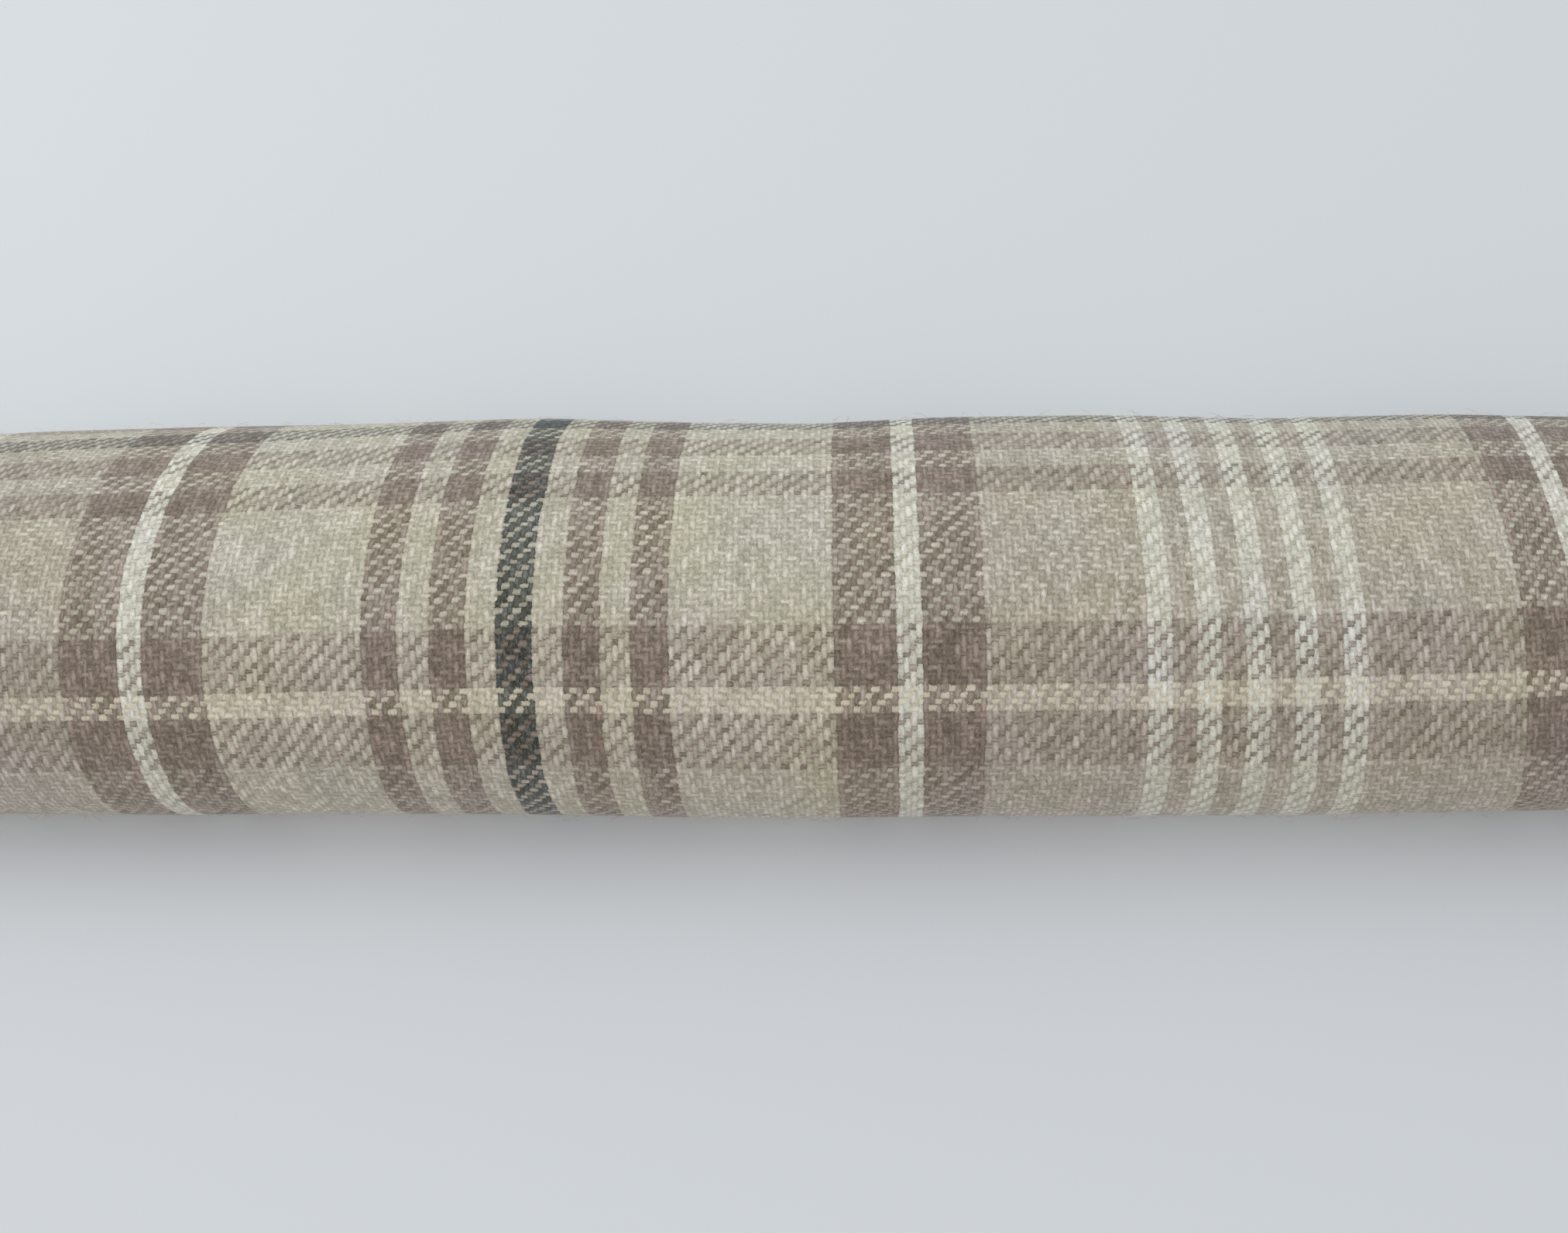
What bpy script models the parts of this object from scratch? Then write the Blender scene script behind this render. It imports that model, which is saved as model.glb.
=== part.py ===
"""Draught excluder: one piece of tartan cloth folded into a tube, sewn shut and filled.

The tube lies along X on its own flat foot, with Z up and the origin on the
surface below its middle. All sizes are in metres.
"""

import math

import bmesh
import bpy

# The cloth tube as it lies filled
TUBE_LENGTH = 0.910
TUBE_WIDTH = 0.104
TUBE_HEIGHT = 0.062
# The widest line round the sides lies low, because the filling sinks
BELLY_HEIGHT = 0.020
# The upper side is a little more pointed than an ellipse, whose value is 2
CROWN_ROUNDNESS = 1.8
# The crown leans towards the front
CROWN_LEAN = 0.007
# How far the round underside would reach below the surface that flattens it
FOOT_FLATTENING = 0.0085

# The straight seam that shuts each end, and the nose of filled cloth beside it
SEAM_WIDTH = 0.122
SEAM_HEIGHT = 0.023
SEAM_DRAWN_IN = 0.013
NOSE_LENGTH = 0.085
NOSE_FULLNESS = 0.60
CORNER_LENGTH = 0.070
# Distances of the rings from the end seam
NOSE_RINGS = (0.004, 0.013, 0.027, 0.045, 0.067)

# Where hands and filling left the tube a little fuller or slacker:
# place along the tube, then how far the back, the front and the crown stand out
SOFT_PLACES = [
    # along, back, front, crown
    (-0.365, 0.0000, 0.0005, 0.0000),
    (-0.325, 0.0015, 0.0000, 0.0010),
    (-0.285, 0.0000, 0.0015, -0.0010),
    (-0.245, -0.0010, 0.0005, 0.0000),
    (-0.205, 0.0000, 0.0005, -0.0005),
    (-0.160, 0.0015, 0.0000, 0.0000),
    (-0.120, 0.0015, 0.0000, 0.0005),
    (-0.072, 0.0022, -0.0003, 0.0010),
    (-0.035, 0.0000, 0.0000, 0.0000),
    (0.000, -0.0014, 0.0002, -0.0008),
    (0.035, 0.0000, 0.0002, 0.0000),
    (0.078, 0.0008, 0.0002, 0.0008),
    (0.120, -0.0008, 0.0000, 0.0000),
    (0.165, -0.0006, -0.0004, 0.0000),
    (0.205, -0.0008, -0.0006, -0.0005),
    (0.245, 0.0010, 0.0000, 0.0005),
    (0.285, 0.0015, 0.0010, 0.0000),
    (0.325, -0.0005, 0.0015, 0.0010),
    (0.365, 0.0000, 0.0005, 0.0000),
]

RING_POINTS = 24
SMOOTH_LEVELS = 1
# A smoothed ring of points shrinks a little, so its points stand out by this much
RING_SWELL = 6.0 / (4.0 + 2.0 * math.cos(2.0 * math.pi / RING_POINTS))

CLOTH_COLOUR = (0.42, 0.38, 0.33, 1.0)
CLOTH_ROUGHNESS = 0.95


def clear_scene():
    """Remove whatever the opened file holds."""
    for item in list(bpy.data.objects):
        bpy.data.objects.remove(item, do_unlink=True)


def rounded(value, power):
    """Raise a signed share to a power and keep its sign."""
    return math.copysign(abs(value) ** power, value)


def ring_point(step, half_back, half_front, crown, fullness, middle_height):
    """Give one point of the cloth's section: across, and up from the surface."""
    turn = 2.0 * math.pi * step / RING_POINTS
    across, up = math.cos(turn), math.sin(turn)
    half = half_back if across > 0.0 else half_front
    if up >= 0.0:
        power = 2.0 / CROWN_ROUNDNESS
        height = middle_height + fullness * (crown - BELLY_HEIGHT) * rounded(up, power)
        lean = CROWN_LEAN * fullness * rounded(up, power)
    else:
        power = 1.0
        height = middle_height + fullness * (BELLY_HEIGHT + FOOT_FLATTENING) * up
        lean = 0.0
    return half * rounded(across, power) - lean, max(height, 0.0)


def body_ring(along, back, front, crown):
    """Give the points of one ring of the tube's straight run."""
    half = RING_SWELL * TUBE_WIDTH / 2.0
    points = []
    for step in range(RING_POINTS):
        y, z = ring_point(step, half + back, half + front, TUBE_HEIGHT + crown, RING_SWELL, BELLY_HEIGHT)
        points.append((along, y, z))
    return points


def nose_ring(side, distance):
    """Give the points of a ring near an end, where the tube flattens into its seam."""
    left = 1.0 - distance / NOSE_LENGTH
    fullness = RING_SWELL * (1.0 - left * left) ** NOSE_FULLNESS
    corner = max(0.0, 1.0 - distance / CORNER_LENGTH) ** 2
    half = RING_SWELL * TUBE_WIDTH / 2.0 + corner * (SEAM_WIDTH - TUBE_WIDTH) / 2.0
    middle_height = BELLY_HEIGHT + corner * (SEAM_HEIGHT - BELLY_HEIGHT)
    points = []
    for step in range(RING_POINTS):
        y, z = ring_point(step, half, half, TUBE_HEIGHT, fullness, middle_height)
        drawn_in = SEAM_DRAWN_IN * left * (1.0 - (y / half) ** 2)
        points.append((side * (TUBE_LENGTH / 2.0 - distance - drawn_in), y, z))
    return points


def seam_row(side):
    """Give the points of an end seam, from its back corner to its front corner."""
    points = []
    for step in range(RING_POINTS // 2 + 1):
        across = math.cos(2.0 * math.pi * step / RING_POINTS)
        drawn_in = SEAM_DRAWN_IN * (1.0 - across * across)
        points.append((side * (TUBE_LENGTH / 2.0 - drawn_in), across * SEAM_WIDTH / 2.0, SEAM_HEIGHT))
    return points


def add_loop(mesh, points):
    """Add a row of points to the mesh."""
    return [mesh.verts.new(point) for point in points]


def join_rings(mesh, first, second):
    """Skin the strip between two rings whose second lies towards +X."""
    for step in range(RING_POINTS):
        after = (step + 1) % RING_POINTS
        mesh.faces.new((first[step], first[after], second[after], second[step]))


def join_seam(mesh, seam, ring, side):
    """Skin the strip between an end seam and its nearest ring, above and below."""
    half = RING_POINTS // 2
    folded = [seam[step] if step <= half else seam[RING_POINTS - step] for step in range(RING_POINTS)]
    if side > 0.0:
        join_rings(mesh, ring, folded)
    else:
        join_rings(mesh, folded, ring)


def crease_seam(mesh, seam, edge_crease, point_crease):
    """Keep an end seam as a crisp edge, and its corners as points."""
    for first, second in zip(seam, seam[1:]):
        edge = mesh.edges.get((first, second))
        edge[edge_crease] = 1.0
    for corner in (seam[0], seam[-1]):
        corner[point_crease] = 1.0


def filled_tube_mesh():
    """Build the coarse cage of the filled tube, seam to seam."""
    mesh = bmesh.new()
    edge_crease = mesh.edges.layers.float.new("crease_edge")
    point_crease = mesh.verts.layers.float.new("crease_vert")
    left_rings = [nose_ring(-1.0, distance) for distance in NOSE_RINGS]
    body_rings = [body_ring(*place) for place in SOFT_PLACES]
    right_rings = [nose_ring(1.0, distance) for distance in reversed(NOSE_RINGS)]
    rings = [add_loop(mesh, points) for points in left_rings + body_rings + right_rings]
    for first, second in zip(rings, rings[1:]):
        join_rings(mesh, first, second)
    for side, ring in ((-1.0, rings[0]), (1.0, rings[-1])):
        seam = add_loop(mesh, seam_row(side))
        join_seam(mesh, seam, ring, side)
        crease_seam(mesh, seam, edge_crease, point_crease)
    data = bpy.data.meshes.new("cloth_tube")
    mesh.to_mesh(data)
    mesh.free()
    data.shade_smooth()
    return data


def cloth_material():
    """Plain stand-in for the woollen tartan's mean colour."""
    material = bpy.data.materials.new("tartan_cloth")
    material.use_nodes = True
    shader = material.node_tree.nodes["Principled BSDF"]
    shader.inputs["Base Color"].default_value = CLOTH_COLOUR
    shader.inputs["Roughness"].default_value = CLOTH_ROUGHNESS
    shader.inputs["Metallic"].default_value = 0.0
    material.diffuse_color = CLOTH_COLOUR
    return material


def build_draught_excluder():
    """Place the filled tube in its own collection."""
    parts = bpy.data.collections.new("draught_excluder")
    bpy.context.scene.collection.children.link(parts)
    tube = bpy.data.objects.new("cloth_tube", filled_tube_mesh())
    tube.data.materials.append(cloth_material())
    parts.objects.link(tube)
    smooth = tube.modifiers.new("soft_surface", "SUBSURF")
    smooth.levels = SMOOTH_LEVELS
    smooth.render_levels = SMOOTH_LEVELS


clear_scene()
build_draught_excluder()
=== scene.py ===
import math

import bpy
import numpy as np
from mathutils import Matrix, Quaternion, Vector


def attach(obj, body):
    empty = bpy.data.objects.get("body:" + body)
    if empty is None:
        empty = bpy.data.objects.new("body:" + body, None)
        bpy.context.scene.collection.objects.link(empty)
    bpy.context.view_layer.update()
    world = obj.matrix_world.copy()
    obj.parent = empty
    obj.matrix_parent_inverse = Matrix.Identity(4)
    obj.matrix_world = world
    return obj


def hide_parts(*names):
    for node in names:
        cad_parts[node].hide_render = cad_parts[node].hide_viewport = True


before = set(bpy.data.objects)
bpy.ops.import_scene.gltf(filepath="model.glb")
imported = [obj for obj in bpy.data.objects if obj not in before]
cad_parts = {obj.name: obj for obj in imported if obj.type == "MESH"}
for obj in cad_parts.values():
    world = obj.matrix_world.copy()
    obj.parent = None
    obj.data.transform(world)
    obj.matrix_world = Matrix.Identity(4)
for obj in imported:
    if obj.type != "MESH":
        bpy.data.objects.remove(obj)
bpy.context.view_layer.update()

# The cloth tube: one strip of woollen-weight twill in a tartan, folded lengthwise, sewn along its back edge
# and across both ends, turned out and filled. It lies with its filling sunk, so its widest line is low and
# its foot is flat.
FLAT_LENGTH = 0.934
GIRTH = 0.271
TUBE_WIDTH = 0.104
TUBE_HEIGHT = 0.062
BELLY_HEIGHT = 0.020
CROWN_ROUNDNESS = 1.8
CROWN_LEAN = 0.007
FOOT_FLATTENING = 0.0085
OUTLINE_POINTS = 720
OUTLINE_SOFTENING = 60
BACK_SHARE = 0.6
# The woven strip is followed in so many columns round the tube. The front edge of the flat tube is half way
# round, and the long seam lies in the middle of the underside.
COLUMNS = 96
FOLD = COLUMNS // 2
LONG_SEAM = 3 * COLUMNS // 4

# Soft places that hands and filling left: place along the tube, then how far the back, the front and the
# crown stand out there
SOFT_PLACES = [
    # along, back, front, crown
    (-0.365, 0.0000, 0.0005, 0.0000),
    (-0.325, 0.0015, 0.0000, 0.0010),
    (-0.285, 0.0000, 0.0015, -0.0010),
    (-0.245, -0.0019, -0.0002, 0.0000),
    (-0.205, 0.0005, -0.0007, -0.0005),
    (-0.160, 0.0014, -0.0003, 0.0000),
    (-0.120, 0.0018, -0.0006, 0.0005),
    (-0.072, 0.0032, -0.0002, 0.0010),
    (-0.035, 0.0017, 0.0006, 0.0000),
    (0.000, 0.0010, 0.0009, -0.0008),
    (0.035, 0.0026, 0.0006, 0.0000),
    (0.078, 0.0028, 0.0006, 0.0008),
    (0.120, 0.0014, 0.0005, 0.0000),
    (0.165, 0.0023, -0.0002, 0.0000),
    (0.205, 0.0011, -0.0009, -0.0005),
    (0.245, 0.0013, -0.0003, 0.0005),
    (0.285, 0.0015, 0.0010, 0.0000),
    (0.325, -0.0005, 0.0015, 0.0010),
    (0.365, 0.0000, 0.0005, 0.0000),
]

# The end seams, as wide as the flat tube, and the filled nose of cloth behind each of them
TUBE_LENGTH = 0.910
SEAM_WIDTH = 0.128
SEAM_HEIGHT = 0.024
SEAM_DRAWN_IN = 0.014
NOSE_LENGTH = 0.095
NOSE_FULLNESS = 0.55
CORNER_LENGTH = 0.080
# Rings of points lie close together where the ends wrinkle, and grow further apart along the straight run
FINE_LENGTH = 0.130
FINE_STEP = 0.0026
STEP_GROWTH = 0.12
COARSE_STEP = 0.0070
# The run of cloth near each end that the simulation may move, and the blend into the run that it may not
FREE_LENGTH = 0.125
HOLD_BLEND = 0.060


def closed_outline(points, count, start=0.0):
    """Walk a closed outline in equal steps of its length."""
    ring = np.vstack([points, points[:1]])
    length = np.concatenate([[0.0], np.cumsum(np.hypot(*np.diff(ring, axis=0).T))])
    wanted = (start + np.arange(count) / count) % 1.0 * length[-1]
    return np.column_stack([np.interp(wanted, length, ring[:, axis]) for axis in (0, 1)])


def tube_outline(back, front, crown):
    """Give the section of the filled cloth as points across and up, from its back round over the crown."""
    turn = np.linspace(0.0, 2.0 * math.pi, OUTLINE_POINTS, endpoint=False)
    across, up = np.cos(turn), np.sin(turn)
    power = 2.0 / CROWN_ROUNDNESS
    rise = np.abs(up) ** power
    half = TUBE_WIDTH / 2.0 + np.where(across > 0.0, back, front)
    y_above = half * np.sign(across) * np.abs(across) ** power - CROWN_LEAN * rise
    z_above = BELLY_HEIGHT + (TUBE_HEIGHT + crown - BELLY_HEIGHT) * rise
    z_below = BELLY_HEIGHT + (BELLY_HEIGHT + FOOT_FLATTENING) * up
    y = np.where(up >= 0.0, y_above, half * across)
    z = np.maximum(np.where(up >= 0.0, z_above, z_below), 0.0)
    outline = closed_outline(np.column_stack([y, z]), OUTLINE_POINTS)
    for _ in range(OUTLINE_SOFTENING):
        beside = np.roll(outline, 1, axis=0) + np.roll(outline, -1, axis=0)
        outline = 0.5 * outline + 0.25 * beside
    return outline


def fold_start(outline):
    """Find where the back edge of the flat tube lies: the two edges, half the girth apart, are level."""
    half = len(outline) // 2
    apart = np.abs(outline[:, 1] - np.roll(outline, -half, axis=0)[:, 1])
    not_at_back = outline[:, 0] < BACK_SHARE * TUBE_WIDTH / 2.0
    apart[not_at_back] = 1.0
    return int(np.argmin(apart)) / len(outline)


soft = np.array(SOFT_PLACES)
body_start = fold_start(tube_outline(0.0, 0.0, 0.0))

steps = [0.0]
while steps[-1] < FLAT_LENGTH / 2.0:
    beyond = max(0.0, steps[-1] - FINE_LENGTH)
    steps.append(steps[-1] + min(COARSE_STEP, FINE_STEP + STEP_GROWTH * beyond))
from_end = np.array(steps) / steps[-1] * FLAT_LENGTH / 2.0
along = np.concatenate([from_end - FLAT_LENGTH / 2.0, (FLAT_LENGTH / 2.0 - from_end)[::-1][1:]])
rings = len(along)


def ring_points(place):
    """Give one ring of the sewn and filled tube before it settles, and the same ring lying flat."""
    side = math.copysign(1.0, place)
    distance = FLAT_LENGTH / 2.0 - abs(place)
    swell = [np.interp(place, soft[:, 0], soft[:, column]) for column in (1, 2, 3)]
    ring = closed_outline(tube_outline(*swell), COLUMNS, body_start)
    share = np.arange(COLUMNS) / FOLD
    flat_y = np.where(share <= 1.0, 0.5 - share, share - 1.5) * GIRTH / 2.0
    left = max(0.0, 1.0 - distance / NOSE_LENGTH)
    fullness = (1.0 - left * left) ** NOSE_FULLNESS
    corner = max(0.0, 1.0 - distance / CORNER_LENGTH) ** 2
    y = ring[:, 0] * (1.0 - corner) + flat_y / (GIRTH / 4.0) * SEAM_WIDTH / 2.0 * corner
    z = SEAM_HEIGHT + (ring[:, 1] - SEAM_HEIGHT) * fullness
    taken_up = max(0.0, 1.0 - distance / FREE_LENGTH) ** 2
    drawn = SEAM_DRAWN_IN * taken_up * (1.0 - (y / np.abs(y).max()) ** 2)
    x = place - side * (taken_up * (FLAT_LENGTH - TUBE_LENGTH) / 2.0 + drawn)
    filled = np.column_stack([x, y, np.maximum(z, 0.0)])
    flat = np.column_stack([np.full(COLUMNS, place), flat_y, np.zeros(COLUMNS)])
    return filled, flat


# At an end seam the upper and the lower cloth share their points
filled_points, flat_points, point_at = [], [], np.zeros((rings, COLUMNS), int)
for ring_number, place in enumerate(along):
    filled, flat = ring_points(place)
    for column in range(COLUMNS):
        if ring_number in (0, rings - 1) and column > FOLD:
            point_at[ring_number, column] = point_at[ring_number, COLUMNS - column]
            continue
        point_at[ring_number, column] = len(filled_points)
        filled_points.append(filled[column])
        flat_points.append(flat[column])

faces, face_places = [], []
for ring_number in range(rings - 1):
    for column in range(COLUMNS):
        near = [(ring_number, column), (ring_number, column + 1)]
        far = [(ring_number + 1, column + 1), (ring_number + 1, column)]
        faces.append([int(point_at[r, c % COLUMNS]) for r, c in near + far])
        face_places.append(near + far)


def add_object(name, data):
    """Put a new object in the scene."""
    made = bpy.data.objects.new(name, data)
    bpy.context.scene.collection.objects.link(made)
    return made


def finished_mesh(piece):
    """Give the plain mesh that a piece's modifiers make of it."""
    return bpy.data.meshes.new_from_object(piece.evaluated_get(bpy.context.evaluated_depsgraph_get()))


tube_mesh = bpy.data.meshes.new("cloth_tube_cover")
tube_mesh.from_pydata([tuple(point) for point in filled_points], [], faces)
tube = add_object("cloth_tube_cover", tube_mesh)

# The cloth was cut a little off its grain, and it slipped as it was filled: by how much round the tube and
# along it, at the back, the crown and the front. Past the table's ends the slip fades out.
GRAIN_TURN = math.radians(1.39)
CHARCOAL_ALONG = -0.0683
CHARCOAL_AROUND = 0.0135
CROWN_AROUND = 0.062
SLIPS = [
    # along, round back, round crown, round front, along back, along crown, along front
    (-0.24, -0.0090, 0.0032, 0.0000, -0.0018, -0.0002, 0.0004),
    (-0.20, -0.0083, 0.0025, 0.0005, -0.0029, 0.0003, 0.0007),
    (-0.16, -0.0052, 0.0015, 0.0008, -0.0044, 0.0014, 0.0012),
    (-0.12, -0.0023, 0.0016, 0.0002, -0.0041, 0.0012, 0.0008),
    (-0.08, 0.0006, 0.0016, 0.0001, -0.0032, 0.0009, 0.0011),
    (-0.04, 0.0018, 0.0028, -0.0017, -0.0028, 0.0011, 0.0014),
    (0.00, 0.0028, 0.0032, -0.0026, -0.0030, -0.0001, -0.0004),
    (0.04, 0.0013, 0.0011, -0.0030, -0.0041, -0.0013, -0.0010),
    (0.08, 0.0002, 0.0002, -0.0041, -0.0054, -0.0013, -0.0018),
    (0.12, 0.0006, 0.0012, -0.0044, -0.0058, -0.0001, -0.0027),
    (0.16, 0.0009, 0.0007, -0.0051, -0.0056, 0.0013, -0.0034),
    (0.18, 0.0010, 0.0008, -0.0046, -0.0052, 0.0048, -0.0035),
    (0.20, 0.0010, 0.0008, -0.0040, -0.0046, 0.0048, -0.0034),
    (0.24, 0.0010, 0.0010, -0.0024, -0.0034, 0.0024, -0.0026),
]
SLIP_REACH = 0.24
SLIP_FADE = 0.1
slips = np.array(SLIPS)
turn_cos, turn_sin = math.cos(GRAIN_TURN), math.sin(GRAIN_TURN)
corner_rings = np.array(face_places)
place = along[corner_rings[..., 0].ravel()]
around = corner_rings[..., 1].ravel() / COLUMNS * GIRTH
around -= np.where(np.repeat(corner_rings[:, 0, 1], 4) >= LONG_SEAM, GIRTH, 0.0)
off_crown = (around - CROWN_AROUND) / CROWN_AROUND
back_weight = off_crown * (off_crown - 1.0)
crown_weight = 2.0 - 2.0 * off_crown ** 2
front_weight = off_crown * (off_crown + 1.0)
weights = np.array([back_weight, crown_weight, front_weight]) / 2.0
fade = np.clip(1.0 - (np.abs(place) - SLIP_REACH) / SLIP_FADE, 0.0, 1.0)
weights *= np.clip(2.0 - np.abs(off_crown), 0.0, 1.0) * fade
slip = [np.interp(place, slips[:, 0], slips[:, number]) for number in range(1, 7)]
u = place - CHARCOAL_ALONG + sum(weights[side] * slip[side + 3] for side in range(3))
v = around - CHARCOAL_AROUND + sum(weights[side] * slip[side] for side in range(3))
uv_layer = tube_mesh.uv_layers.new(name="cloth")
threads = np.column_stack([u * turn_cos - v * turn_sin, u * turn_sin + v * turn_cos])
uv_layer.data.foreach_set("uv", threads.ravel())

# The sewn ends settle: the cloth keeps its flat lengths while the filling presses it out above a hard surface
CLOTH_FRAMES = 24
CLOTH_QUALITY = 6
POINT_MASS = 0.0001
STRETCH_STIFFNESS = 30.0
SHEAR_STIFFNESS = 8.0
BENDING_STIFFNESS = 0.02
HOLD_STIFFNESS = 5.0
FILLING_PRESSURE = 4.0
SURFACE_SIZE = 3.0
SURFACE_HEIGHT = -0.0012
CONTACT_GAP = 0.001
SURFACE_FRICTION = 8.0
tube.shape_key_add(name="filled")
flat_key = tube.shape_key_add(name="flat")
flat_key.data.foreach_set("co", np.array(flat_points).ravel())
held = tube.vertex_groups.new(name="held")
for ring_number, place in enumerate(along):
    hold = min(1.0, max(0.0, (FLAT_LENGTH / 2.0 - abs(place) - FREE_LENGTH) / HOLD_BLEND))
    if hold > 0.0:
        ring = sorted(set(point_at[ring_number].tolist()))
        held.add(ring, hold * hold * (3.0 - 2.0 * hold), "REPLACE")
bpy.ops.mesh.primitive_plane_add(size=SURFACE_SIZE, location=(0.0, 0.0, SURFACE_HEIGHT))
surface = bpy.context.object
surface.modifiers.new("surface", "COLLISION")
surface.collision.thickness_outer = CONTACT_GAP
surface.collision.cloth_friction = SURFACE_FRICTION
settle = tube.modifiers.new("settle", "CLOTH")
settle.settings.quality = CLOTH_QUALITY
settle.settings.mass = POINT_MASS
settle.settings.tension_stiffness = STRETCH_STIFFNESS
settle.settings.compression_stiffness = STRETCH_STIFFNESS
settle.settings.shear_stiffness = SHEAR_STIFFNESS
settle.settings.bending_stiffness = BENDING_STIFFNESS
settle.settings.rest_shape_key = flat_key
settle.settings.vertex_group_mass = "held"
settle.settings.pin_stiffness = HOLD_STIFFNESS
settle.settings.use_pressure = True
settle.settings.uniform_pressure_force = FILLING_PRESSURE
settle.settings.effector_weights.gravity = 0.0
settle.collision_settings.distance_min = CONTACT_GAP
settle.point_cache.frame_end = CLOTH_FRAMES
for frame_number in range(1, CLOTH_FRAMES + 1):
    bpy.context.scene.frame_set(frame_number)
settled = finished_mesh(tube)
tube.modifiers.clear()
tube.shape_key_clear()
tube.data = settled
bpy.data.objects.remove(surface)
bpy.context.scene.frame_set(1)

# Thread pulls the cloth into small puckers at the end seams, with a few long soft gathers, and draws the
# long seam in
PUCKER_WIDTH = 0.0085
PUCKER_DEPTH = 0.0008
PUCKER_REACH = 0.009
PUCKER_SEED = 11
PUCKERED_RINGS = 34
SEAM_GROOVE = 0.0014
UNGROOVED_RINGS = 3
SEAM_CREASE = 0.8
GATHERS = [
    # across, depth, width, reach
    (-0.046, 0.0016, 0.0060, 0.030),
    (-0.031, -0.0014, 0.0055, 0.038),
    (-0.017, 0.0013, 0.0065, 0.026),
    (0.002, -0.0012, 0.0070, 0.034),
    (0.019, 0.0015, 0.0060, 0.040),
    (0.034, -0.0015, 0.0055, 0.028),
    (0.047, 0.0014, 0.0060, 0.032),
]
GATHER_SHIFT = 0.004
GATHER_START = 0.006
points = np.array([vertex.co[:] for vertex in tube.data.vertices])
chance = np.random.default_rng(PUCKER_SEED)
for end_ring, step in ((0, 1), (rings - 1, -1)):
    phase = chance.uniform(0.0, 2.0 * math.pi, 2)
    shifts = chance.uniform(-GATHER_SHIFT, GATHER_SHIFT, (2, len(GATHERS)))
    for number in range(1, PUCKERED_RINGS):
        ring_number = end_ring + step * number
        inward = FLAT_LENGTH / 2.0 - abs(along[ring_number])
        for column in range(COLUMNS):
            under = int(column > FOLD)
            across = 0.5 - column / FOLD if not under else column / FOLD - 1.5
            corner = math.cos(math.pi * across) ** 0.5 if abs(across) < 0.5 else 0.0
            pucker = math.sin(across * GIRTH / 2.0 / PUCKER_WIDTH * 2.0 * math.pi + phase[under])
            rise = PUCKER_DEPTH * pucker * math.exp(-inward / PUCKER_REACH)
            for shift, (middle, depth, width, reach) in zip(shifts[under], GATHERS):
                off = (across * GIRTH / 2.0 - middle - shift) / width
                begun = min(1.0, inward / GATHER_START)
                rise += depth * math.exp(-off * off - (inward / reach) ** 2) * begun
            index = point_at[ring_number, column]
            points[index, 2] = max(points[index, 2] + rise * corner * (1.0 - 2.0 * under), 0.0)
for ring_number in range(UNGROOVED_RINGS, rings - UNGROOVED_RINGS):
    points[point_at[ring_number, LONG_SEAM], 2] += SEAM_GROOVE
tube.data.vertices.foreach_set("co", points.ravel())
end_seams = [points[point_at[ring_number, :FOLD + 1]] for ring_number in (0, rings - 1)]
sewn = set()
for seam in (point_at[0], point_at[rings - 1]):
    sewn.update(tuple(sorted(pair)) for pair in zip(seam[:FOLD], seam[1:FOLD + 1]))
crease = tube.data.attributes.new("crease_edge", "FLOAT", "EDGE")
creases = [SEAM_CREASE if tuple(sorted(edge.vertices)) in sewn else 0.0 for edge in tube.data.edges]
crease.data.foreach_set("value", creases)

tube.data.shade_smooth()
smooth = tube.modifiers.new("smooth", "SUBSURF")
smooth.levels = 1
smooth.render_levels = 1
smooth.uv_smooth = "NONE"

# Tartan: how many threads of each yarn lie side by side, from the middle of the charcoal stripe to the middle
# of the five-line group, in the warp that runs round the tube and in the weft that runs along it. Then it all
# turns back.
SETT = [
    # warp yarn, ends, weft yarn, picks
    ("charcoal", 3, "charcoal", 3),
    ("natural", 5, "natural", 5),
    ("taupe", 6, "taupe", 6),
    ("natural", 5, "natural", 5),
    ("taupe", 6, "taupe", 6),
    ("natural", 26, "natural", 23),
    ("taupe", 10, "taupe", 9),
    ("cream", 4, "straw", 4),
    ("taupe", 10, "taupe", 9),
    ("beige", 26, "beige", 24),
    ("cream", 4, "straw", 4),
    ("beige", 4, "beige", 4),
    ("cream", 4, "straw", 4),
    ("beige", 4, "beige", 4),
    ("cream", 2, "straw", 2),
]
WARP_COLUMN = 0
WEFT_COLUMN = 2
# Each yarn's colour, and how strongly its fibres vary in shade, which also sets how strongly the painted
# crest highlight and the painted gap shade show on it
YARNS = {
    "natural": (0.656, 0.606, 0.480, 0.56),
    "beige": (0.550, 0.492, 0.400, 0.65),
    "taupe": (0.302, 0.236, 0.187, 0.92),
    "cream": (0.850, 0.825, 0.705, 0.35),
    "straw": (0.870, 0.785, 0.605, 0.22),
    "charcoal": (0.037, 0.055, 0.051, 1.00),
}
# The weave: the threads' distances, how far they wander, and how finely across and along themselves
END_PITCH = 0.001420
PICK_PITCH = 0.001455
WANDER = 0.9
FINE_WANDER = 620.0
SLOW_WANDER = 110.0
RAGGED = 0.55
RAGGED_SCALE = 2.3
# The yarns: how they wave and lie over one another, in threads
TWILL_REPEAT = 3.0
YARN_WAVE = 0.30
YARN_ROUNDNESS = 0.5
WARP_LIFT = 0.046
WARP_THINNESS = 1.9
WEFT_THINNESS = 2.3
FLOAT_UNEVEN = 0.16
CROSSING_SOFTNESS = 0.04
CROSSING_SHARPNESS = 9.0
# The fibres in the yarns: how fine they are across them, how long along them, and how slanted
FIBRES_ACROSS = 5.0
WARP_FIBRES_ALONG = 0.9
WARP_FIBRE_SLANT = 0.9
WEFT_FIBRES_ALONG = 1.0
WEFT_FIBRE_SLANT = 0.8
FIBRE_DETAIL = 3.0
FIBRE_ROUGHNESS = 0.65
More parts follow.
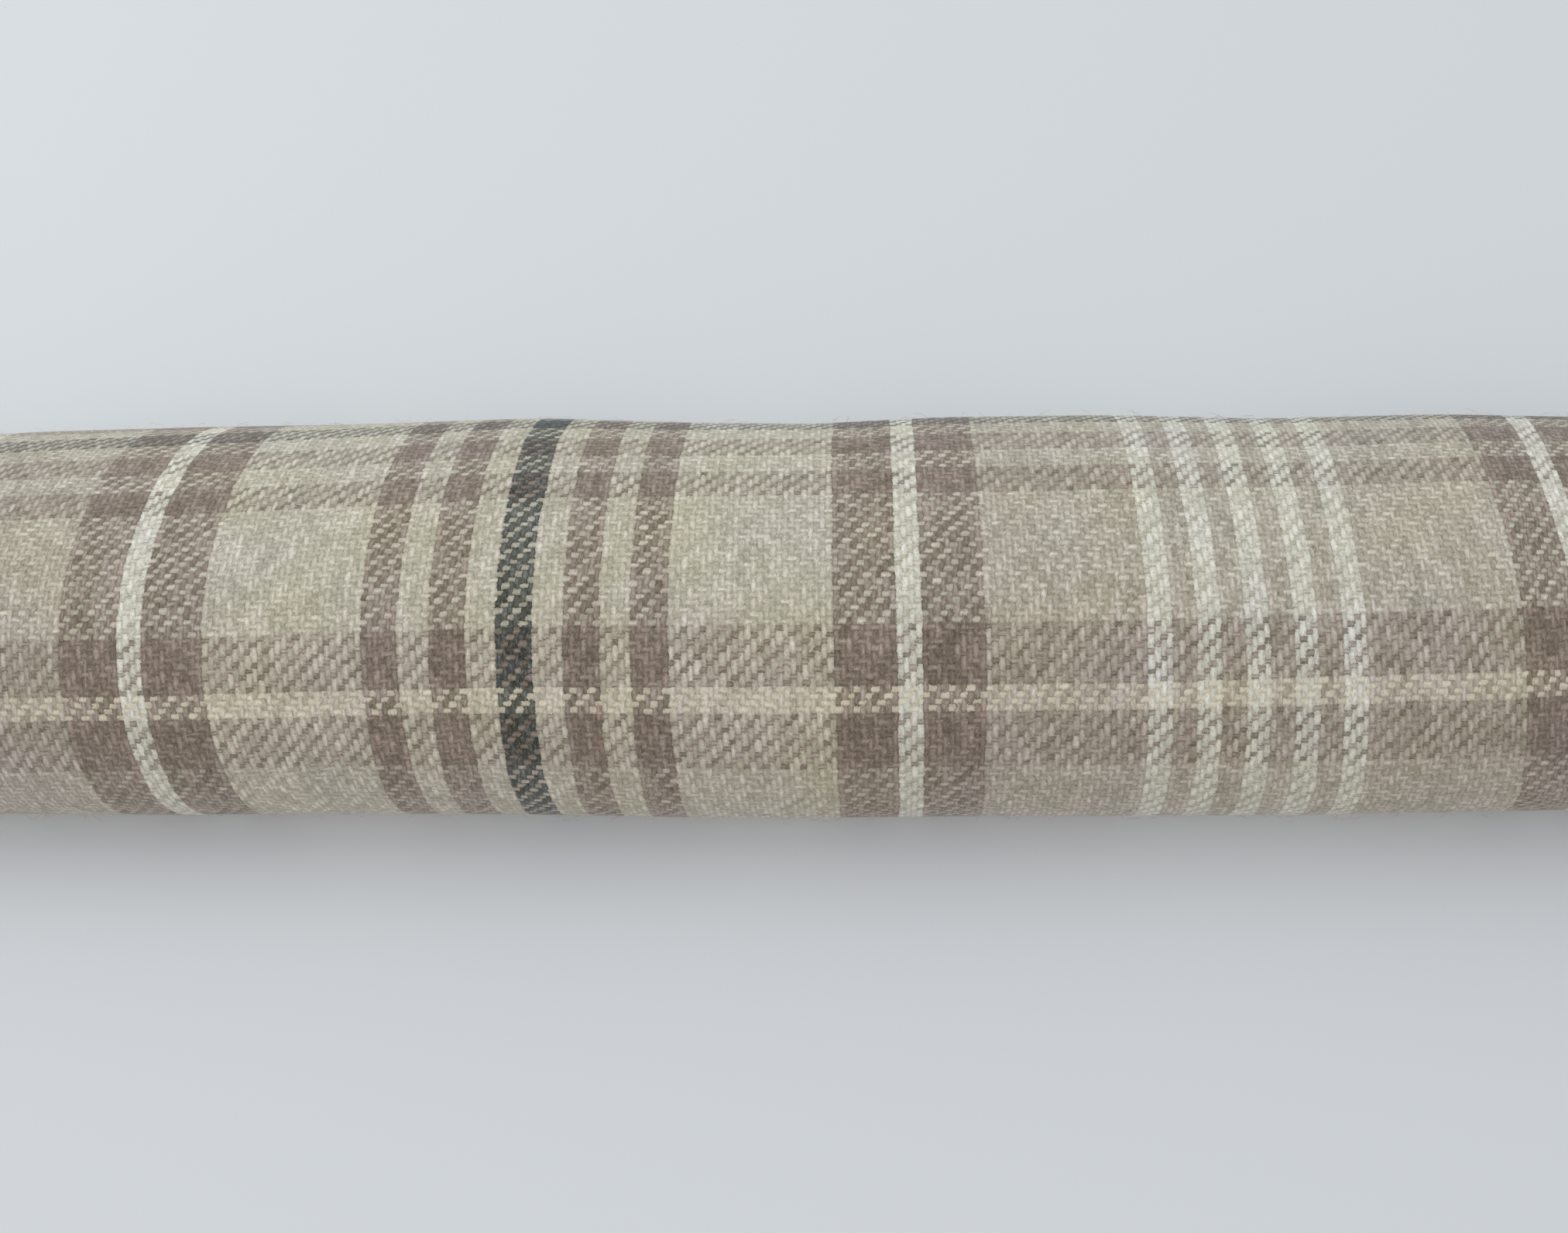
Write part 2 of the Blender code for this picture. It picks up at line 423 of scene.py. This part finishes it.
# The loose fibres that blur the pattern
OTHER_YARN = 0.36
HALO = 0.18
HALO_CHANGE = 0.36
STRAY_SHARE = 0.55
STRAY_RANGE = (0.50, 0.72)
STRAY_COLOUR = (0.34, 0.29, 0.23, 1.0)
# Light and dark: how much each cause changes a yarn's shade. Fibres, floats, flecks and patches are the
# yarns' own shades. The crest light is a painted highlight with painted shade at the yarn's sides. The gap
# shade and top light are painted shade between the yarns and painted light on their tops.
FIBRE_CONTRAST = 1.55
FLOAT_CONTRAST = 0.46
FLECK_CONTRAST = 1.35
PATCH_CONTRAST = 0.45
PATCH_SCALE = 90.0
# Painted highlight along each yarn's crest, with painted shade at its sides, stronger on some floats than on
# others
CREST_LIGHT = 0.54
CREST_PLACE = (0.04, 0.34)
CREST_RANGE = (0.66, -0.34)
EVEN_CREST = 0.35
CHANCE_CREST = 1.3
# Painted shade in the gaps between yarns and painted light on their tops, weaker on the less heathered yarns
GAP_SHADE = 0.29
GAP_HEIGHT = (0.25, 0.90)
TOP_LIGHT = 0.04
PLAIN_GAP = 0.4
HEATHER_GAP = 0.6
# Painted highlight and shade colour: lighter tones turn whiter and darker tones warmer
CREST_WHITENESS = 0.20
YELLOWING = 0.22
YELLOWING_SCALE = 34.0
# The relief of fibres and flecks on the yarns, and its depth
FIBRE_RELIEF = 0.45
FLECK_RELIEF = 0.3
RELIEF_DEPTH = 0.0005
RELIEF_STRENGTH = 0.7
# Each pattern of chance is read on a layer of its own, so that no two follow one another
END_LAYER = 0.0
PICK_LAYER = 7.0
RAGGED_LAYER = 2.0
WEFT_FIBRE_LAYER = 9.0
STRAY_LAYER = 6.0
FLECK_LAYER = 4.0
WEFT_CHANCE_LAYER = 900.0


class Tree:
    """One tree of nodes, with short ways to add a node and to link what it reads."""

    def __init__(self, tree):
        self.tree = tree

    def node(self, kind, values=None, **settings):
        made = self.tree.nodes.new(kind)
        for name, value in settings.items():
            setattr(made, name, value)
        for key, value in (values or {}).items():
            self.feed(made.inputs[key], value)
        return made

    def feed(self, socket, value):
        if isinstance(value, bpy.types.NodeSocket):
            self.tree.links.new(value, socket)
        else:
            socket.default_value = value

    def math(self, operation, *values, clamp=False):
        made = self.node("ShaderNodeMath", dict(enumerate(values)), operation=operation, use_clamp=clamp)
        return made.outputs[0]

    def add(self, first, second):
        return self.math("ADD", first, second)

    def subtract(self, first, second):
        return self.math("SUBTRACT", first, second)

    def multiply(self, first, second):
        return self.math("MULTIPLY", first, second)

    def multiply_add(self, first, second, added):
        return self.math("MULTIPLY_ADD", first, second, added)

    def divide(self, first, second):
        return self.math("DIVIDE", first, second)

    def floor(self, value):
        return self.math("FLOOR", value)

    def swing(self, value, amount, around):
        """Swing about a number by how far a value between 0 and 1 is off its middle."""
        return self.multiply_add(self.subtract(value, 0.5), amount, around)

    def spread(self, value, before, after=(0.0, 1.0)):
        """Carry one range of a value over to another, and hold it there."""
        ranges = {"Value": value, 1: before[0], 2: before[1], 3: after[0], 4: after[1]}
        return self.node("ShaderNodeMapRange", ranges).outputs[0]

    def blend(self, factor, first, second):
        """Blend two numbers."""
        return self.node("ShaderNodeMix", {0: factor, 2: first, 3: second}).outputs[0]

    def mix(self, factor, first, second, blend="MIX"):
        """Mix two colours."""
        made = self.node("ShaderNodeMix", data_type="RGBA", blend_type=blend)
        self.feed(made.inputs[0], factor)
        self.feed(made.inputs[6], first)
        self.feed(made.inputs[7], second)
        return made.outputs[2]

    def vector(self, x, y, z=0.0):
        return self.node("ShaderNodeCombineXYZ", {0: x, 1: y, 2: z}).outputs[0]

    def noise(self, vector, scale, detail=2.0, roughness=0.5):
        values = {"Vector": vector, "Scale": scale, "Detail": detail, "Roughness": roughness}
        return self.node("ShaderNodeTexNoise", values).outputs["Fac"]

    def chance(self, x, y):
        """One even chance for each whole pair of numbers."""
        return self.node("ShaderNodeTexWhiteNoise", {"Vector": self.vector(x, y)}).outputs["Value"]


def new_material(name, roughness):
    """Start a material and give it with its tree and its shader."""
    material = bpy.data.materials.new(name)
    material.use_nodes = True
    principled = material.node_tree.nodes["Principled BSDF"]
    principled.inputs["Roughness"].default_value = roughness
    return material, Tree(material.node_tree), principled


cloth, t, shader = new_material("tartan_twill", roughness=0.95)
uv = t.node("ShaderNodeUVMap", uv_map="cloth").outputs["UV"]
cloth_place = t.node("ShaderNodeSeparateXYZ", {0: uv})
place_along, place_around = cloth_place.outputs[0], cloth_place.outputs[1]


def wander(along_scale, around_scale, layer):
    """Give the slow and fine wandering of one set of threads."""
    where = t.vector(t.multiply(place_along, along_scale), t.multiply(place_around, around_scale), layer)
    return t.noise(where, 1.0)


# Hand of the loom: threads wander by a fraction of their own width, and their edges are ragged
end_wander = wander(FINE_WANDER, SLOW_WANDER, END_LAYER)
pick_wander = wander(SLOW_WANDER, FINE_WANDER, PICK_LAYER)
ends = t.multiply_add(end_wander, WANDER, t.divide(place_along, END_PITCH))
picks = t.multiply_add(pick_wander, WANDER, t.divide(place_around, PICK_PITCH))
edge_values = {"Vector": t.vector(ends, picks, RAGGED_LAYER), "Scale": RAGGED_SCALE, "Detail": 2.0}
ragged = t.node("ShaderNodeTexNoise", edge_values).outputs["Color"]
ragged = t.node("ShaderNodeSeparateColor", {0: ragged})
ends = t.swing(ragged.outputs[0], RAGGED, ends)
picks = t.swing(ragged.outputs[1], RAGGED, picks)
end = t.floor(ends)
pick = t.floor(picks)
across_end = t.subtract(t.subtract(ends, end), 0.5)
across_pick = t.subtract(t.subtract(picks, pick), 0.5)

# Each warp thread floats over two picks and dives under the third, one pick on from its neighbour
warp_float = t.add(t.add(picks, end), -0.5)
weft_float = t.add(t.add(ends, pick), 1.0)
warp_phase = t.subtract(t.math("FLOORED_MODULO", warp_float, TWILL_REPEAT), TWILL_REPEAT / 2.0)
weft_phase = t.subtract(t.math("FLOORED_MODULO", weft_float, TWILL_REPEAT), TWILL_REPEAT / 2.0)
warp_chance = t.chance(end, t.floor(t.divide(warp_float, TWILL_REPEAT)))
weft_chance = t.chance(t.floor(t.divide(weft_float, TWILL_REPEAT)), t.add(pick, WEFT_CHANCE_LAYER))


def yarn_surface(phase, across, lift, thinness, chance):
    """Height of a round yarn that waves over and under its neighbours, each float a little uneven."""
    lift = t.swing(chance, FLOAT_UNEVEN, lift)
    wave = t.multiply(t.math("COSINE", t.multiply(phase, 2.0 * math.pi / TWILL_REPEAT)), YARN_WAVE)
    from_middle = t.multiply(t.math("ABSOLUTE", across), thinness)
    inside = t.math("SUBTRACT", 1.0, t.math("POWER", from_middle, 2.0), clamp=True)
    return t.add(t.add(wave, lift), t.multiply(t.math("SQRT", inside), YARN_ROUNDNESS))


def stripe_ramp(thread, column):
    """Give one thread's colour and heather, by its number from the middle of the charcoal stripe."""
    total = sum(row[column + 1] for row in SETT)
    folded = t.math("PINGPONG", t.add(thread, 0.5), float(total))
    # A place well inside the thread's share of the ramp
    place = t.divide(t.add(t.floor(folded), 0.75), float(total))
    ramp = t.node("ShaderNodeValToRGB", {"Fac": place})
    stops = ramp.color_ramp
    stops.interpolation = "CONSTANT"
    begin = 0
    for number, row in enumerate(SETT):
        stop = stops.elements[0] if number == 0 else stops.elements.new(begin / total)
        stop.position = begin / total
        stop.color = YARNS[row[column]]
        begin += row[column + 1]
    stops.elements.remove(stops.elements[-1])
    return ramp.outputs["Color"], ramp.outputs["Alpha"]


warp_height = yarn_surface(warp_phase, across_end, WARP_LIFT, WARP_THINNESS, warp_chance)
weft_height = yarn_surface(weft_phase, across_pick, -WARP_LIFT, WEFT_THINNESS, weft_chance)
height = t.math("SMOOTH_MAX", warp_height, weft_height, CROSSING_SOFTNESS)
weft_above = t.subtract(weft_height, warp_height)
weft_shows = t.math("MULTIPLY_ADD", weft_above, CROSSING_SHARPNESS, 0.5, clamp=True)
warp_colour, warp_heather = stripe_ramp(end, WARP_COLUMN)
weft_colour, weft_heather = stripe_ramp(pick, WEFT_COLUMN)
heather = t.blend(weft_shows, warp_heather, weft_heather)
float_chance = t.blend(weft_shows, warp_chance, weft_chance)

# Carded fibres of mixed shades run along each yarn, a little slanted by its twist
warp_slant = t.multiply_add(picks, WARP_FIBRE_SLANT, t.multiply(ends, FIBRES_ACROSS))
weft_slant = t.multiply_add(ends, WEFT_FIBRE_SLANT, t.multiply(picks, FIBRES_ACROSS))
warp_grain = t.vector(warp_slant, t.multiply(picks, WARP_FIBRES_ALONG))
weft_grain = t.vector(t.multiply(ends, WEFT_FIBRES_ALONG), weft_slant, WEFT_FIBRE_LAYER)
warp_fibre = t.noise(warp_grain, 1.0, FIBRE_DETAIL, FIBRE_ROUGHNESS)
weft_fibre = t.noise(weft_grain, 1.0, FIBRE_DETAIL, FIBRE_ROUGHNESS)
fibre = t.blend(weft_shows, warp_fibre, weft_fibre)


def thread_noise(across_ends, across_picks, layer, scale, roughness):
    """Noise on the threads' own numbers, so much finer across the warp and across the weft."""
    where = t.vector(t.multiply(ends, across_ends), t.multiply(picks, across_picks), layer)
    return t.noise(where, scale, 2.0, roughness)


# Loose fibres carry each yarn's colour over its neighbours, and stray dark ones lie across them
mean_colour = t.mix(OTHER_YARN, warp_colour, weft_colour)
top_colour = t.mix(weft_shows, warp_colour, weft_colour)
yarn_colour = t.mix(t.multiply_add(fibre, HALO_CHANGE, HALO), top_colour, mean_colour)
stray = thread_noise(across_ends=2.2, across_picks=1.4, layer=STRAY_LAYER, scale=1.3, roughness=0.6)
stray = t.spread(stray, STRAY_RANGE, (0.0, STRAY_SHARE))
yarn_colour = t.mix(stray, yarn_colour, STRAY_COLOUR)

# Fibres, floats, flecks and patches are lighter or darker in their own shades. A painted highlight runs along
# each yarn's crest with painted shade at its sides, painted shade darkens the gaps between yarns, and their
# tops are painted a little lighter. All of it makes one tone that multiplies the yarn's colour.
fleck = thread_noise(across_ends=1.7, across_picks=1.5, layer=FLECK_LAYER, scale=1.6, roughness=0.7)
patch = t.noise(uv, PATCH_SCALE)
shade = t.multiply(t.subtract(fibre, 0.5), FIBRE_CONTRAST)
shade = t.swing(float_chance, FLOAT_CONTRAST, shade)
shade = t.swing(fleck, FLECK_CONTRAST, shade)
shade = t.swing(patch, PATCH_CONTRAST, shade)
off_crest = t.math("ABSOLUTE", t.blend(weft_shows, across_end, across_pick))
painted_crest_light_and_side_shade = t.spread(off_crest, CREST_PLACE, CREST_RANGE)
painted_crest_light_and_side_shade = t.multiply(painted_crest_light_and_side_shade, t.multiply_add(float_chance, CHANCE_CREST, EVEN_CREST))
shade = t.multiply_add(t.multiply(painted_crest_light_and_side_shade, fibre), CREST_LIGHT, shade)
shade = t.multiply(shade, heather)
painted_gap_shade_and_top_light = t.spread(height, GAP_HEIGHT, (GAP_SHADE, -TOP_LIGHT))
painted_gap_shade_and_top_light = t.multiply(painted_gap_shade_and_top_light, t.multiply_add(heather, HEATHER_GAP, PLAIN_GAP))
tone = t.multiply(t.add(1.0, shade), t.subtract(1.0, painted_gap_shade_and_top_light))

# Where the tone is lighter the colour turns a little whiter, as the colour of a painted highlight, and where
# it is darker a little warmer, as the colour of painted shade. This follows the painted crest light and gap
# shade and the fibres' own shades alike. Slow noise yellows the cloth in places.
whiter = t.multiply_add(t.subtract(tone, 1.0), CREST_WHITENESS, 1.0)
whiter = t.swing(t.noise(uv, YELLOWING_SCALE, 1.0), YELLOWING, whiter)
grey = t.node("ShaderNodeCombineColor", {0: tone, 1: tone, 2: t.multiply(tone, whiter)}).outputs[0]
t.feed(shader.inputs["Base Color"], t.mix(1.0, yarn_colour, grey, "MULTIPLY"))
shader.inputs["Specular IOR Level"].default_value = 0.15
shader.inputs["Sheen Weight"].default_value = 0.28
shader.inputs["Sheen Roughness"].default_value = 0.5
relief = t.multiply_add(fibre, FIBRE_RELIEF, t.multiply_add(fleck, FLECK_RELIEF, height))
bump_values = {"Height": relief, "Distance": RELIEF_DEPTH, "Strength": RELIEF_STRENGTH}
t.feed(shader.inputs["Normal"], t.node("ShaderNodeBump", bump_values).outputs[0])
tube.data.materials.clear()
tube.data.materials.append(cloth)

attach(tube, "root")
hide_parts("cloth_tube")


# The end seams: the strip's two short edges are closed by small whipped stitches of natural linen thread,
# one beside the other, each drawn tight over the edge.
STITCH_SPACING = 0.0042
STITCH_RADIUS = 0.0009
STITCH_SWEEP = math.radians(250.0)
STITCH_POINTS = 9
STITCH_SEED = 4
LEAST_SLANT = (-0.15, 0.2, -0.2)
MOST_SLANT = (0.15, 0.5, 0.2)
SEAM_INSET = 0.0004
# So many points at each end of a seam stay without a stitch, so that none hangs off a corner's tip
BARE_POINTS = 2
THREAD_RADIUS = 0.00022
THREAD_SIDES = 5
THREAD_COLOUR = (0.56, 0.50, 0.38, 1.0)

thread, _, thread_shader = new_material("linen_thread", roughness=0.85)
thread_shader.inputs["Base Color"].default_value = THREAD_COLOUR


def new_geometry_tree(name, sizes):
    """Start a Geometry Nodes tree with a Geometry input and one float input for each named size."""
    tree = bpy.data.node_groups.new(name, "GeometryNodeTree")
    tree.interface.new_socket("Geometry", in_out="INPUT", socket_type="NodeSocketGeometry")
    for size in sizes:
        tree.interface.new_socket(size, in_out="INPUT", socket_type="NodeSocketFloat")
    tree.interface.new_socket("Geometry", in_out="OUTPUT", socket_type="NodeSocketGeometry")
    return Tree(tree)


def swept_thread(tree, path, radius, sides):
    """Make a thread of a path: a round section swept along it, with closed ends."""
    section = tree.node("GeometryNodeCurvePrimitiveCircle", {"Resolution": sides, "Radius": radius})
    swept = {"Curve": path.outputs[0], "Profile Curve": section.outputs[0], "Fill Caps": True}
    return tree.node("GeometryNodeCurveToMesh", swept)


def end_tree(tree, copies, material):
    """Make the copies real, give them their material and end the tree."""
    real = tree.node("GeometryNodeRealizeInstances", {0: copies.outputs[0]})
    finished = tree.node("GeometryNodeSetMaterial", {"Geometry": real.outputs[0], "Material": material})
    tree.node("NodeGroupOutput", {0: finished.outputs[0]})


def apply_tree(piece, tree, sizes):
    """Run a Geometry Nodes tree on a piece and keep the result as its plain mesh."""
    modifier = piece.modifiers.new("build", "NODES")
    modifier.node_group = tree.tree
    for item in tree.tree.interface.items_tree:
        if item.in_out == "INPUT" and item.name in sizes:
            modifier[item.identifier] = sizes[item.name]
    piece.update_tag()
    bpy.context.view_layer.update()
    made = finished_mesh(piece)
    piece.modifiers.clear()
    piece.data = made


stitch_sizes = {"Spacing": STITCH_SPACING, "Stitch Radius": STITCH_RADIUS, "Thread Radius": THREAD_RADIUS}
sewing = new_geometry_tree("whipped_stitches", stitch_sizes)
given = sewing.node("NodeGroupInput").outputs
seam_line = sewing.node("GeometryNodeMeshToCurve", {"Mesh": given["Geometry"]})
spacing = {"Curve": seam_line.outputs[0], "Length": given["Spacing"]}
spaced = sewing.node("GeometryNodeResampleCurve", spacing, mode="LENGTH")

# Each stitch stands across the seam, open towards the tube, and slants a little
tangent = sewing.node("GeometryNodeInputTangent").outputs[0]
outward = sewing.node("GeometryNodeInputPosition").outputs[0]
outward = sewing.node("ShaderNodeVectorMath", {0: outward, 1: (1.0, 0.0, 0.0)}, operation="MULTIPLY")
turned = sewing.node("FunctionNodeAlignRotationToVector", {"Vector": tangent}, axis="Z")
facing_out = {"Rotation": turned.outputs[0], "Vector": outward.outputs[0]}
turned = sewing.node("FunctionNodeAlignRotationToVector", facing_out, axis="X", pivot_axis="Z")
slants = {"Min": LEAST_SLANT, "Max": MOST_SLANT, "Seed": STITCH_SEED}
slant = sewing.node("FunctionNodeRandomValue", slants, data_type="FLOAT_VECTOR")
slanted = {0: turned.outputs[0], 1: slant.outputs[0]}
turned = sewing.node("FunctionNodeRotateRotation", slanted, rotation_space="LOCAL")
arc = {
    "Resolution": STITCH_POINTS,
    "Radius": given["Stitch Radius"],
    "Start Angle": -STITCH_SWEEP / 2.0,
    "Sweep Angle": STITCH_SWEEP,
}
loop = swept_thread(sewing, sewing.node("GeometryNodeCurveArc", arc), given["Thread Radius"], THREAD_SIDES)
row = {"Points": spaced.outputs[0], "Instance": loop.outputs[0], "Rotation": turned.outputs[0]}
end_tree(sewing, sewing.node("GeometryNodeInstanceOnPoints", row), thread)

# Both seams are sewn as one piece, from two lines of points just inside the cloth's folded edge
line_points, line_edges = [], []
for seam in end_seams:
    inward = np.array([-SEAM_INSET * math.copysign(1.0, seam[0][0]), 0.0, 0.0])
    first = len(line_points)
    line_points += [tuple(point + inward) for point in seam[BARE_POINTS:-BARE_POINTS]]
    line_edges += [(number, number + 1) for number in range(first, len(line_points) - 1)]
seam_lines = bpy.data.meshes.new("end_stitches")
seam_lines.from_pydata(line_points, line_edges, [])
stitches = add_object("end_stitches", seam_lines)
apply_tree(stitches, sewing, stitch_sizes)
stitches.data.shade_smooth()
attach(stitches, "root")


# The loose fibres: short ends of wool, pale or dark, that the brushed yarns have let go of. They stand a
# little out of the cloth all over it and lie almost flat, each held by the yarn that it comes from.
FIBRE_LENGTH = 0.0032
FIBRE_RISE = 0.0009
FIBRE_BEND = 0.18
FIBRE_RADIUS = 0.000022
FIBRE_SIDES = 3
FIBRE_POINTS = 3
FIBRES_PER_SQUARE_METRE = 30000.0
SHORTEST_SHARE = 0.45
LONGEST_SHARE = 1.35
LEAST_TURN = (-0.2, -0.35, 0.0)
MOST_TURN = (0.2, 0.15, 2.0 * math.pi)
ROOT_SEED, TURN_SEED, LENGTH_SEED = 3, 5, 7
# Below this height the tube rests on the surface, and its fibres are pressed flat
CLEAR_HEIGHT = 0.004
DARK_WOOL = (0.36, 0.30, 0.24, 1.0)
PALE_WOOL = (0.80, 0.76, 0.64, 1.0)
WOOL_CHANGE_SCALE = 260.0
WOOL_CHANGE = (0.42, 0.60)

wool, w, wool_shader = new_material("loose_wool", roughness=0.9)
where = w.node("ShaderNodeTexCoord").outputs["Object"]
pale_or_dark = w.spread(w.noise(where, WOOL_CHANGE_SCALE, 1.0), WOOL_CHANGE)
w.feed(wool_shader.inputs["Base Color"], w.mix(pale_or_dark, DARK_WOOL, PALE_WOOL))

fibre_sizes = {
    "Density": FIBRES_PER_SQUARE_METRE,
    "Length": FIBRE_LENGTH,
    "Rise": FIBRE_RISE,
    "Radius": FIBRE_RADIUS,
}
brush = new_geometry_tree("loose_fibres", fibre_sizes)
given = brush.node("NodeGroupInput").outputs
position = brush.node("GeometryNodeInputPosition").outputs[0]
height_above = brush.node("ShaderNodeSeparateXYZ", {0: position}).outputs[2]
above = {0: height_above, 1: CLEAR_HEIGHT}
clear = brush.node("FunctionNodeCompare", above, data_type="FLOAT", operation="GREATER_THAN")
scattered = {
    "Mesh": given["Geometry"],
    "Selection": clear.outputs[0],
    "Density": given["Density"],
    "Seed": ROOT_SEED,
}
roots = brush.node("GeometryNodeDistributePointsOnFaces", scattered)
turns = {"Min": LEAST_TURN, "Max": MOST_TURN, "Seed": TURN_SEED}
turn = brush.node("FunctionNodeRandomValue", turns, data_type="FLOAT_VECTOR")
turned = {0: roots.outputs["Rotation"], 1: turn.outputs[0]}
facing = brush.node("FunctionNodeRotateRotation", turned, rotation_space="LOCAL")

# One fibre is a short bent hair, and every copy of it has its own length
half_way = brush.multiply(given["Length"], 0.5)
sideways = brush.multiply(given["Length"], FIBRE_BEND)
middle = brush.vector(half_way, sideways, given["Rise"])
tip = brush.vector(given["Length"], 0.0, brush.multiply(given["Rise"], 0.5))
bend = {"Resolution": FIBRE_POINTS, "Start": (0.0, 0.0, 0.0), "Middle": middle, "End": tip}
hair = brush.node("GeometryNodeCurveQuadraticBezier", bend)
hair = swept_thread(brush, hair, given["Radius"], FIBRE_SIDES)
lengths = {2: SHORTEST_SHARE, 3: LONGEST_SHARE, "Seed": LENGTH_SEED}
length = brush.node("FunctionNodeRandomValue", lengths, data_type="FLOAT")
nap = {
    "Points": roots.outputs[0],
    "Instance": hair.outputs[0],
    "Rotation": facing.outputs[0],
    "Scale": length.outputs[1],
}
end_tree(brush, brush.node("GeometryNodeInstanceOnPoints", nap), wool)

fibres = add_object("loose_fibres", finished_mesh(tube))
apply_tree(fibres, brush, fibre_sizes)
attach(fibres, "root")


# The surface that the tube lies on: a plain, pale, dull floor that reaches far beyond it on all sides, and
# is no piece of the object.
FLOOR_SIZE = 60.0
FLOOR_COLOUR = (0.78, 0.80, 0.82, 1.0)
bpy.ops.mesh.primitive_plane_add(size=FLOOR_SIZE, location=(0.0, 0.0, 0.0))
floor = bpy.context.object
floor.name = "pale_floor"
paint, _, floor_shader = new_material("pale_floor", roughness=0.7)
floor_shader.inputs["Base Color"].default_value = FLOOR_COLOUR
floor.data.materials.append(paint)


# The light: soft light from all round the room, a little more of it from above and from behind the tube,
# where it is cooler, and one large lamp, as a window would be, at the back on the left.
LAMP_PLACE = Vector((-0.70, 0.35, 0.80))
LAMP_TARGET = Vector((-0.05, 0.05, 0.0))
LAMP_SIZE = 0.6
LAMP_POWER = 1.7
LAMP_COLOUR = (1.0, 0.99, 0.97)
ROOM_LIGHT = 0.615
BRIGHTER_TOWARDS = (-0.05, 0.20, 0.26)
ROOM_SEEN = 0.66
ROOM_FRONT = (1.00, 0.915, 0.900, 1.0)
ROOM_BACK = (0.905, 0.965, 1.015, 1.0)
FRONT_TO_BACK = (-0.22, 0.30)
lamp = add_object("window", bpy.data.lights.new("window", "AREA"))
lamp.data.shape = "DISK"
lamp.data.size = LAMP_SIZE
lamp.data.energy = LAMP_POWER
lamp.data.color = LAMP_COLOUR
lamp.location = LAMP_PLACE
lamp.rotation_euler = (LAMP_TARGET - LAMP_PLACE).to_track_quat("-Z", "Y").to_euler()

sky = bpy.data.worlds.new("soft_room")
bpy.context.scene.world = sky
sky.use_nodes = True
room = Tree(sky.node_tree)
background = sky.node_tree.nodes["Background"]
toward = room.node("ShaderNodeTexCoord").outputs["Generated"]
brighter = room.node("ShaderNodeVectorMath", {0: toward, 1: BRIGHTER_TOWARDS}, operation="DOT_PRODUCT")
brighter = brighter.outputs["Value"]
seen = room.node("ShaderNodeLightPath").outputs["Is Camera Ray"]
cooler = room.math("MAXIMUM", room.spread(brighter, FRONT_TO_BACK), seen)
room.feed(background.inputs["Color"], room.mix(cooler, ROOM_FRONT, ROOM_BACK))
room.feed(background.inputs["Strength"], room.blend(seen, room.add(brighter, ROOM_LIGHT), ROOM_SEEN))
bpy.context.scene.view_settings.view_transform = "Standard"


# The camera: it looks steeply down at the tube from its front, a little under 40 cm away, and a little from
# its right, so that both ends lie outside the picture.
LENS = 34.3
SENSOR_WIDTH = 36.0
NEAREST = 0.01
CAMERA_PLACE = Vector((0.0006, -0.1089, 0.3924))
CAMERA_TARGET = Vector((-0.0068, -0.0043, 0.0330))
CAMERA_ROLL = math.radians(-0.31)
camera = add_object("camera", bpy.data.cameras.new("camera"))
camera.data.lens = LENS
camera.data.sensor_width = SENSOR_WIDTH
camera.data.clip_start = NEAREST
view = (CAMERA_TARGET - CAMERA_PLACE).normalized()
right = Vector((1.0, 0.0, 0.0))
right = (right - view * right.dot(view)).normalized()
right.rotate(Quaternion(view, -CAMERA_ROLL))
up = right.cross(view)
camera.matrix_world = Matrix((right, up, -view)).transposed().to_4x4()
camera.location = CAMERA_PLACE
bpy.context.scene.camera = camera
